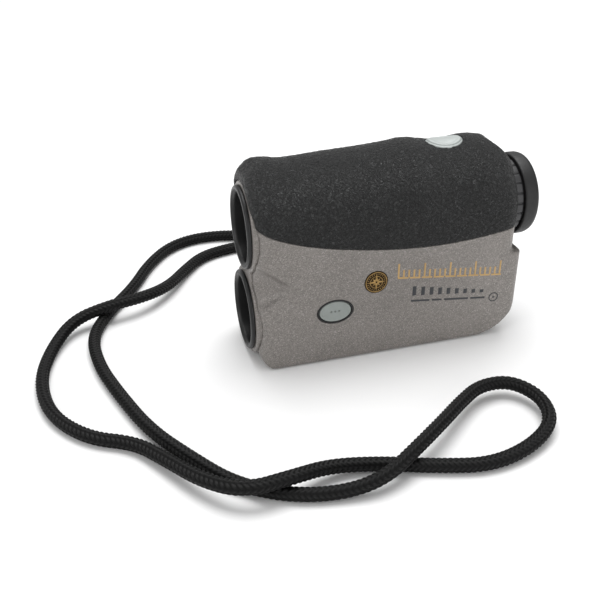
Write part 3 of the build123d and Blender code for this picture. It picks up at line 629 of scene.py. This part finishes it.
power_rings = [oval_ring((5.6, 4.0), lambda a: POWER_TOP - 4.6 * MM)]
POWER_RIM = (  # how far in from the edge, and how far below the rim, in mm
    (0.0, 0.75), (0.05, 0.4), (0.17, 0.18), (0.4, 0.03), (0.7, 0.0), (1.0, 0.08), (1.5, 0.22),
)
for inset, drop in POWER_RIM:
    power_rings.append(
        oval_ring((5.6 - inset, 4.0 - inset), lambda a, drop=drop: button_rim(a) - drop * MM)
    )
for fraction in (0.55, 0.35, 0.15):
    power_rings.append(
        oval_ring(
            (5.6 * fraction, 4.0 * fraction),
            lambda a, f=fraction: button_rim(a) * f + (POWER_TOP - 0.5 * MM) * (1 - f) - 0.25 * MM * f,
        )
    )
stacked("power_key", power_rings, "power_key", POWER, ["power_button"])

def skirt_foot(a):
    """The armour's surface under the skirt's outer edge."""
    return ARCH_Z + 16.85 * MM - (0.75 * math.sin(a) ** 2 + 0.35) * MM


skirt_rings = [
    oval_ring((5.72, 4.12), lambda a: POWER_TOP - 3.0 * MM),
    oval_ring((5.72, 4.12), lambda a: button_rim(a) - 0.5 * MM),
    oval_ring((5.8, 4.2), lambda a: button_rim(a) - 0.42 * MM),
    oval_ring((6.0, 4.45), lambda a: 0.5 * (button_rim(a) - 0.5 * MM) + 0.5 * skirt_foot(a)),
    oval_ring((6.15, 4.75), skirt_foot),
    oval_ring((6.0, 4.5), lambda a: POWER_TOP - 3.0 * MM),
]
stacked(
    "power_skirt", skirt_rings + skirt_rings[:1], "housing", POWER,
    ["power_button_seal"], caps=(False, False),
)

# ---- Mode button, its gasket and the lit lip of its recess ---------------------------------------
MODE_LOW, MODE_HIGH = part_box("mode_gasket")
MODE_X = (MODE_LOW.x + MODE_HIGH.x) / 2
MODE_Z = (MODE_LOW.z + MODE_HIGH.z) / 2


def side_oval(centre, half, out):
    """Points round an oval on the near side, standing out by a distance that may vary with the angle."""
    ring = []
    for k in range(AROUND):
        a = 2 * math.pi * k / AROUND
        proud = out(a) if callable(out) else out
        across, up = half[0] * math.cos(a) * MM, half[1] * math.sin(a) * MM
        ring.append((centre[0] + across, SIDE_Y - proud * MM, centre[1] + up))
    return ring


MODE_CENTRE = (MODE_X, MODE_Z)
mode_rings = [side_oval(MODE_CENTRE, (5.2, 3.55), -3.8)]
MODE_RIM = (  # how far in from the edge, and how far out of the shell's side, in mm
    (0.0, -0.15), (0.05, 0.02), (0.18, 0.13), (0.38, 0.16), (0.6, 0.1), (0.85, 0.0), (1.3, -0.06),
)
for inset, out in MODE_RIM:
    mode_rings.append(side_oval(MODE_CENTRE, (5.2 - inset, 3.55 - inset), out))
for fraction in (0.5, 0.25):
    mode_rings.append(side_oval(MODE_CENTRE, (5.2 * fraction, 3.55 * fraction), -0.06))
stacked("mode_key", mode_rings, "mode_key", MODE, ["mode_button"])
for dx in (-1.3, 0.0, 1.3):
    dot = [side_oval((MODE_X + dx * MM, MODE_Z), (0.34, 0.34), -0.1)]
    dot.append(side_oval((MODE_X + dx * MM, MODE_Z), (0.34, 0.34), 0.02))
    dot.append(side_oval((MODE_X + dx * MM, MODE_Z), (0.24, 0.24), 0.07))
    stacked(f"mode_dot_{int(dx * 10 + 13)}", dot, "mode_key", MODE_MARK)

gasket_rings = [
    side_oval(MODE_CENTRE, half, out)
    for half, out in (
        ((5.36, 3.71), -0.9), ((5.36, 3.71), -0.1), ((5.5, 3.8), 0.08), ((5.72, 3.95), 0.1),
        ((6.08, 4.22), 0.03), ((5.9, 4.06), -0.9),
    )
]
stacked(
    "mode_gasket_ring", gasket_rings + gasket_rings[:1], "housing", SEAL,
    ["mode_gasket"], caps=(False, False),
)


def lower_lip(height):
    """Tallest under the button and nothing above it."""
    return lambda a: height * (0.5 - 0.5 * math.sin(a))


lip_rings = [
    side_oval(MODE_CENTRE, (7.5, 5.7), -0.05), side_oval(MODE_CENTRE, (7.05, 5.25), lower_lip(0.14)),
    side_oval(MODE_CENTRE, (6.65, 4.85), lower_lip(0.36)),
    side_oval(MODE_CENTRE, (6.4, 4.55), lower_lip(0.4)),
    side_oval(MODE_CENTRE, (6.1, 4.25), lower_lip(0.1)), side_oval(MODE_CENTRE, (6.05, 4.2), -0.3),
]
stacked(
    "mode_recess_lip", lip_rings + lip_rings[:1], "housing", PAINT, caps=(False, False)
)

# ---- Badge: a plain compass rose in relief -------------------------------------------------------
BADGE_LOW, BADGE_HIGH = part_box("badge_disc")
BADGE = ((BADGE_LOW.x + BADGE_HIGH.x) / 2, (BADGE_LOW.z + BADGE_HIGH.z) / 2)
BRONZE = brushed_steel("badge_bronze", (0.055, 0.038, 0.022))
GOLD = brushed_steel("badge_gold", (0.42, 0.27, 0.105))
disc_rings = [side_oval(BADGE, (3.88, 3.88), -0.45)]
for radius, out in ((3.88, 0.0), (3.8, 0.07), (3.6, 0.09), (3.45, 0.03), (2.0, 0.03)):
    disc_rings.append(side_oval(BADGE, (radius, radius), out))
stacked("badge_plate", disc_rings, "housing", BRONZE, ["badge_disc"])


def side_plate(name, outline, out, thick, material):
    """A thin flat plate on the near side with bevelled edges, from (x, z) points in metres."""
    middle = sum((Vector(p) for p in outline), Vector((0, 0))) / len(outline)
    rings = []
    for shrink, height in ((0.0, out - 0.04), (0.0, out + thick * 0.6), (0.06 * MM, out + thick)):
        ring = []
        for point in outline:
            inward = middle - Vector(point)
            p = Vector(point) + inward.normalized() * min(shrink, inward.length * 0.5)
            ring.append((p.x, SIDE_Y - height * MM, p.y))
        rings.append(ring)
    return stacked(name, rings, "housing", material)


def side_band(name, centre, inner, outer, out, thick, material, arc=(0.0, 360.0)):
    """A flat ring, or an arc of one, on the near side."""
    steps = max(8, int((arc[1] - arc[0]) / 5))
    whole = arc[1] - arc[0] >= 360
    angles = [math.radians(arc[0] + (arc[1] - arc[0]) * k / steps) for k in range(steps + (not whole))]
    rings = []
    for radius, height in (
        (inner, out - 0.04), (inner, out + thick), (outer, out + thick), (outer, out - 0.04)
    ):
        y = SIDE_Y - height * MM
        reach = radius * MM
        rings.append(
            [(centre[0] + reach * math.cos(a), y, centre[1] + reach * math.sin(a)) for a in angles]
        )
    vertices = [p for ring in rings for p in ring]
    count = len(angles)
    faces = []
    for r in range(4):
        for k in range(count if whole else count - 1):
            n = (k + 1) % count
            faces.append((r * count + k, r * count + n, (r + 1) % 4 * count + n, (r + 1) % 4 * count + k))
    if not whole:
        faces.append([r * count for r in range(4)])
        faces.append([r * count + count - 1 for r in reversed(range(4))])
    return make_piece(name, vertices, faces, "housing", material)


side_band("badge_rim", BADGE, 3.3, 3.55, 0.05, 0.09, GOLD)
side_band("badge_inner_ring", BADGE, 1.95, 2.15, 0.02, 0.09, GOLD)
for k in range(8):
    angle = math.radians(45 * k)
    length = 2.9 if k % 2 == 0 else 1.8
    ray = Vector((math.cos(angle), math.sin(angle)))
    wide = Vector((-ray.y, ray.x)) * (0.42 if k % 2 == 0 else 0.3)
    middle = Vector(BADGE)
    outline = [middle + (ray * 0.2 - wide * 0.15) * MM, middle + (ray * 0.7 - wide) * MM]
    outline += [middle + ray * length * MM, middle + (ray * 0.7 + wide) * MM]
    side_plate(f"badge_ray_{k}", [tuple(p) for p in outline], 0.03, 0.1, GOLD)
for k in range(24):
    angle = math.radians(15 * k)
    ray = Vector((math.cos(angle), math.sin(angle)))
    wide = Vector((-ray.y, ray.x)) * 0.09
    middle = Vector(BADGE)
    corners = ((2.55, -1), (3.05, -1), (3.05, 1), (2.55, 1))
    outline = [middle + (ray * r + wide * s) * MM for r, s in corners]
    side_plate(f"badge_tick_{k}", [tuple(p) for p in outline], 0.03, 0.07, GOLD)

# ---- Printed marks: a gilt distance scale and plain dark upright bars ----------------------------
GILT = molded("print_gilt", (0.47, 0.30, 0.115), 0.4, 0.00001, 0.1)
INK = molded("print_ink", (0.03, 0.032, 0.036), 0.5, 0.00001, 0.1)


def printed_bar(name, x, z, wide, tall, material):
    """A printed bar with its foot's middle at (x, z), in mm behind the front and above the base."""
    corners = [(-wide / 2, 0), (wide / 2, 0), (wide / 2, tall), (-wide / 2, tall)]
    outline = [(FRONT + (x + dx) * MM, (z + dz) * MM) for dx, dz in corners]
    side_plate(name, outline, 0.0, 0.03, material)


PRINT_FALL = 0.117  # every printed line falls this much per mm towards the eyepiece


def scale_line(x):
    """Height of the gilt scale's baseline."""
    return 27.4 - (x - 45.0) * PRINT_FALL


for k in range(21):
    x = 47.2 + k * 1.78
    tall = 4.9 if k % 5 == 0 else 2.7
    printed_bar(f"scale_tick_{k:02d}", x, scale_line(x) + 0.5, 0.6, tall, GILT)
for k in range(9):
    x = 47.0 + k * 4.1
    outline = [(x, scale_line(x)), (x + 3.6, scale_line(x + 3.6))]
    outline += [(px, pz + 0.6) for px, pz in reversed(outline)]
    side_plate(
        f"scale_base_{k}", [(FRONT + px * MM, pz * MM) for px, pz in outline], 0.0, 0.03, GILT,
    )
for k, (x, wide) in enumerate(((52.0, 6.5), (59.4, 3.4), (63.7, 8.6), (73.2, 5.2))):
    z = 18.0 - (x - 52.0) * PRINT_FALL
    end = z - wide * PRINT_FALL
    side_plate(
        f"caption_bar_{k}",
        [
            (FRONT + px * MM, pz * MM)
            for px, pz in ((x, z), (x + wide, end), (x + wide, end + 0.7), (x, z + 0.7))
        ],
        0.0, 0.03, INK,
    )
for k in range(9):
    x = 53.0 + k * 3.0
    foot = 20.3 - (x - 52.0) * PRINT_FALL
    printed_bar(f"stripe_{k}", x, foot, 1.3, 3.4 - 0.28 * k, INK)
MARK = (FRONT + 81.6 * MM, 14.9 * MM)
side_band("caption_ring", MARK, 1.35, 1.7, 0.0, 0.03, INK)
side_band("caption_dot", MARK, 0.1, 0.4, 0.0, 0.03, INK)

# ---- The cord ------------------------------------------------------------------------------------
FERRULE_Z = 3.5
LYING = 2.1
CORD_DIAMETER = 3.8 * MM
cord_route = [
    (30.2, 46.0, FERRULE_Z), (30.2, 56.0, FERRULE_Z), (27, 68.5, 2.4), (14, 78, LYING),
    (-6, 80, LYING), (-27, 78, LYING), (-46, 83, LYING), (-61, 78.5, LYING),
    (-72, 64.5, LYING), (-79.5, 48, LYING), (-90, 32.5, LYING), (-97, 17, LYING),
    (-96, -1, LYING), (-91, -19, LYING), (-84.5, -38, LYING), (-75, -53.5, LYING),
    (-66, -66.5, LYING), (-53, -75, LYING), (-39, -78, LYING), (-27.5, -78, 4.4),
    (-15.5, -71, 6.6), (-4, -62.5, 6.6), (4.5, -55, 5.4), (13.5, -48.6, 4.8),
    (24, -48.4, 4.4), (29.6, -57.6, 4.0), (27.2, -68.4, 3.4), (17, -75.6, 2.6),
    (3, -79, LYING), (-11, -75.5, LYING), (-26, -70, LYING), (-40, -68.5, 3.4),
    (-51.5, -73, 6.4), (-64.5, -74.5, 6.4), (-74, -66, 4.8), (-82, -53, 3.2),
    (-89, -42.5, LYING), (-102, -36.5, LYING), (-112, -22.5, LYING), (-114.5, -4, LYING),
    (-110.5, 13, LYING), (-102.5, 26, 4.4), (-90, 29, 6.4), (-77.5, 31.5, 6.4),
    (-67.5, 41, 4), (-59.5, 54.5, 2.4), (-51, 65, LYING), (-39, 69, LYING),
    (-22, 70.5, LYING), (-2, 73.5, LYING), (14, 69.5, LYING), (23.2, 61.2, 2.6),
    (25.3, 53.5, FERRULE_Z), (25.3, 46.0, FERRULE_Z),
]


def route_line(points):
    """The smooth line that the cord's middle follows, as points read from a NURBS spline."""
    curve = bpy.data.curves.new("cord_line", "CURVE")
    curve.dimensions = "3D"
    curve.resolution_u = 24
    spline = curve.splines.new("NURBS")
    spline.points.add(len(points) - 1)
    for control, point in zip(spline.points, points):
        control.co = (*(v * MM for v in point), 1.0)
    spline.order_u = 3
    spline.use_endpoint_u = True
    line = bpy.data.objects.new("cord_line", curve)
    mesh = bpy.data.meshes.new_from_object(line)
    places = np.array([v.co[:] for v in mesh.vertices])
    bpy.data.objects.remove(line)
    bpy.data.meshes.remove(mesh)
    return places


def resample(places, step):
    """Points an even step apart along a line."""
    lengths = np.concatenate([[0], np.cumsum(np.linalg.norm(np.diff(places, axis=0), axis=1))])
    count = int(round(lengths[-1] / step)) + 1
    at = np.linspace(0, lengths[-1], count)
    return np.stack([np.interp(at, lengths, places[:, k]) for k in range(3)], 1), at


def carried_frames(places):
    """Unit side vectors carried along a line without twist, two for each point."""
    tangents = np.gradient(places, axis=0)
    tangents /= np.linalg.norm(tangents, axis=1)[:, None]
    side = np.cross(tangents[0], (0, 0, 1.0))
    side /= np.linalg.norm(side)
    sides = []
    for tangent in tangents:
        side = side - tangent * side.dot(tangent)
        side /= np.linalg.norm(side)
        sides.append(side.copy())
    sides = np.array(sides)
    return sides, np.cross(tangents, sides)


BRAID_STEP = 0.2 * MM
BRAID_AROUND = 50
BRAID_COLUMNS = 8
BRAID_PITCH = 1.55 * MM
BRAID_LEAN = 1.05  # rows that a strand climbs across its column
BRAID_DEPTH = 0.58 * MM
BRAID_MEAN = 0.66


def strand_height(at, angle):
    """0 in the gaps to 1 on the strands' crowns, over distance along the cord and angle round it."""
    column = angle / (2 * math.pi) * BRAID_COLUMNS
    across = column - np.floor(column)
    leaning = np.where(np.floor(column) % 2 == 0, 1.0, -1.0)
    row = at[:, None] / BRAID_PITCH + (leaning * (across - 0.5) * BRAID_LEAN)[None, :]
    ridge = np.sqrt(np.clip(1 - (2 * (row - np.floor(row)) - 1) ** 2, 0, 1))
    crown = np.sqrt(np.clip(1 - (2 * across - 1) ** 2 * 0.9, 0, 1))[None, :]
    return ridge * crown


def braided_cord():
    """A tube with chevron rows of strands standing out of its surface."""
    line = route_line(cord_route)
    places, at = resample(line, BRAID_STEP)
    sides, ups = carried_frames(places)
    angle = np.linspace(0, 2 * math.pi, BRAID_AROUND, endpoint=False)
    height = strand_height(at, angle)
    radius = CORD_DIAMETER / 2 + BRAID_DEPTH * (height - BRAID_MEAN)
    co = (
        places[:, None, :]
        + sides[:, None, :] * (np.cos(angle)[None, :] * radius)[..., None]
        + ups[:, None, :] * (np.sin(angle)[None, :] * radius)[..., None]
    )
    co[..., 2] = np.maximum(co[..., 2], 0.05 * MM)
    rings = len(places)
    vertices = co.reshape(-1, 3)
    index = np.arange(rings * BRAID_AROUND).reshape(rings, BRAID_AROUND)
    near = index[:-1]
    far = index[1:]
    faces = np.stack([near, np.roll(near, -1, 1), np.roll(far, -1, 1), far], -1).reshape(-1, 4)
    mesh = bpy.data.meshes.new("lanyard_braid")
    ends = [list(reversed(index[0].tolist())), index[-1].tolist()]
    mesh.from_pydata(vertices.tolist(), [], faces.tolist() + ends)
    mesh.update()
    # the strand height, which the nylon material also turns into painted shade in the gaps and painted
    # highlights on the crowns
    crown = mesh.attributes.new("strand", "FLOAT", "POINT")
    crown.data.foreach_set("value", height.astype(np.float32).ravel())
    piece = bpy.data.objects.new("lanyard_braid", mesh)
    scene.collection.objects.link(piece)
    smooth(piece)
    assign(piece, NYLON)
    return piece, places, at[-1]


cord, cord_path, cord_length = braided_cord()
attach(cord, "housing")
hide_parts("lanyard_cord")

# ---- Floor ---------------------------------------------------------------------------------------
floor_shade = Shade("floor_paper", roughness=0.75, color=grey(0.92))
floor_shade.color(floor_shade.ramp(floor_shade.noise(12.0, 4.0), (0.3, grey(0.90)), (0.7, grey(0.93))))
floor_shade.bump(floor_shade.noise(900.0, 3.0), 0.00001, 0.3)
floor_mesh = bpy.data.meshes.new("floor")
floor_mesh.from_pydata([(-6, -6, 0), (6, -6, 0), (6, 6, 0), (-6, 6, 0)], [], [(0, 1, 2, 3)])
floor = bpy.data.objects.new("floor", floor_mesh)
scene.collection.objects.link(floor)
assign(floor, floor_shade.material)
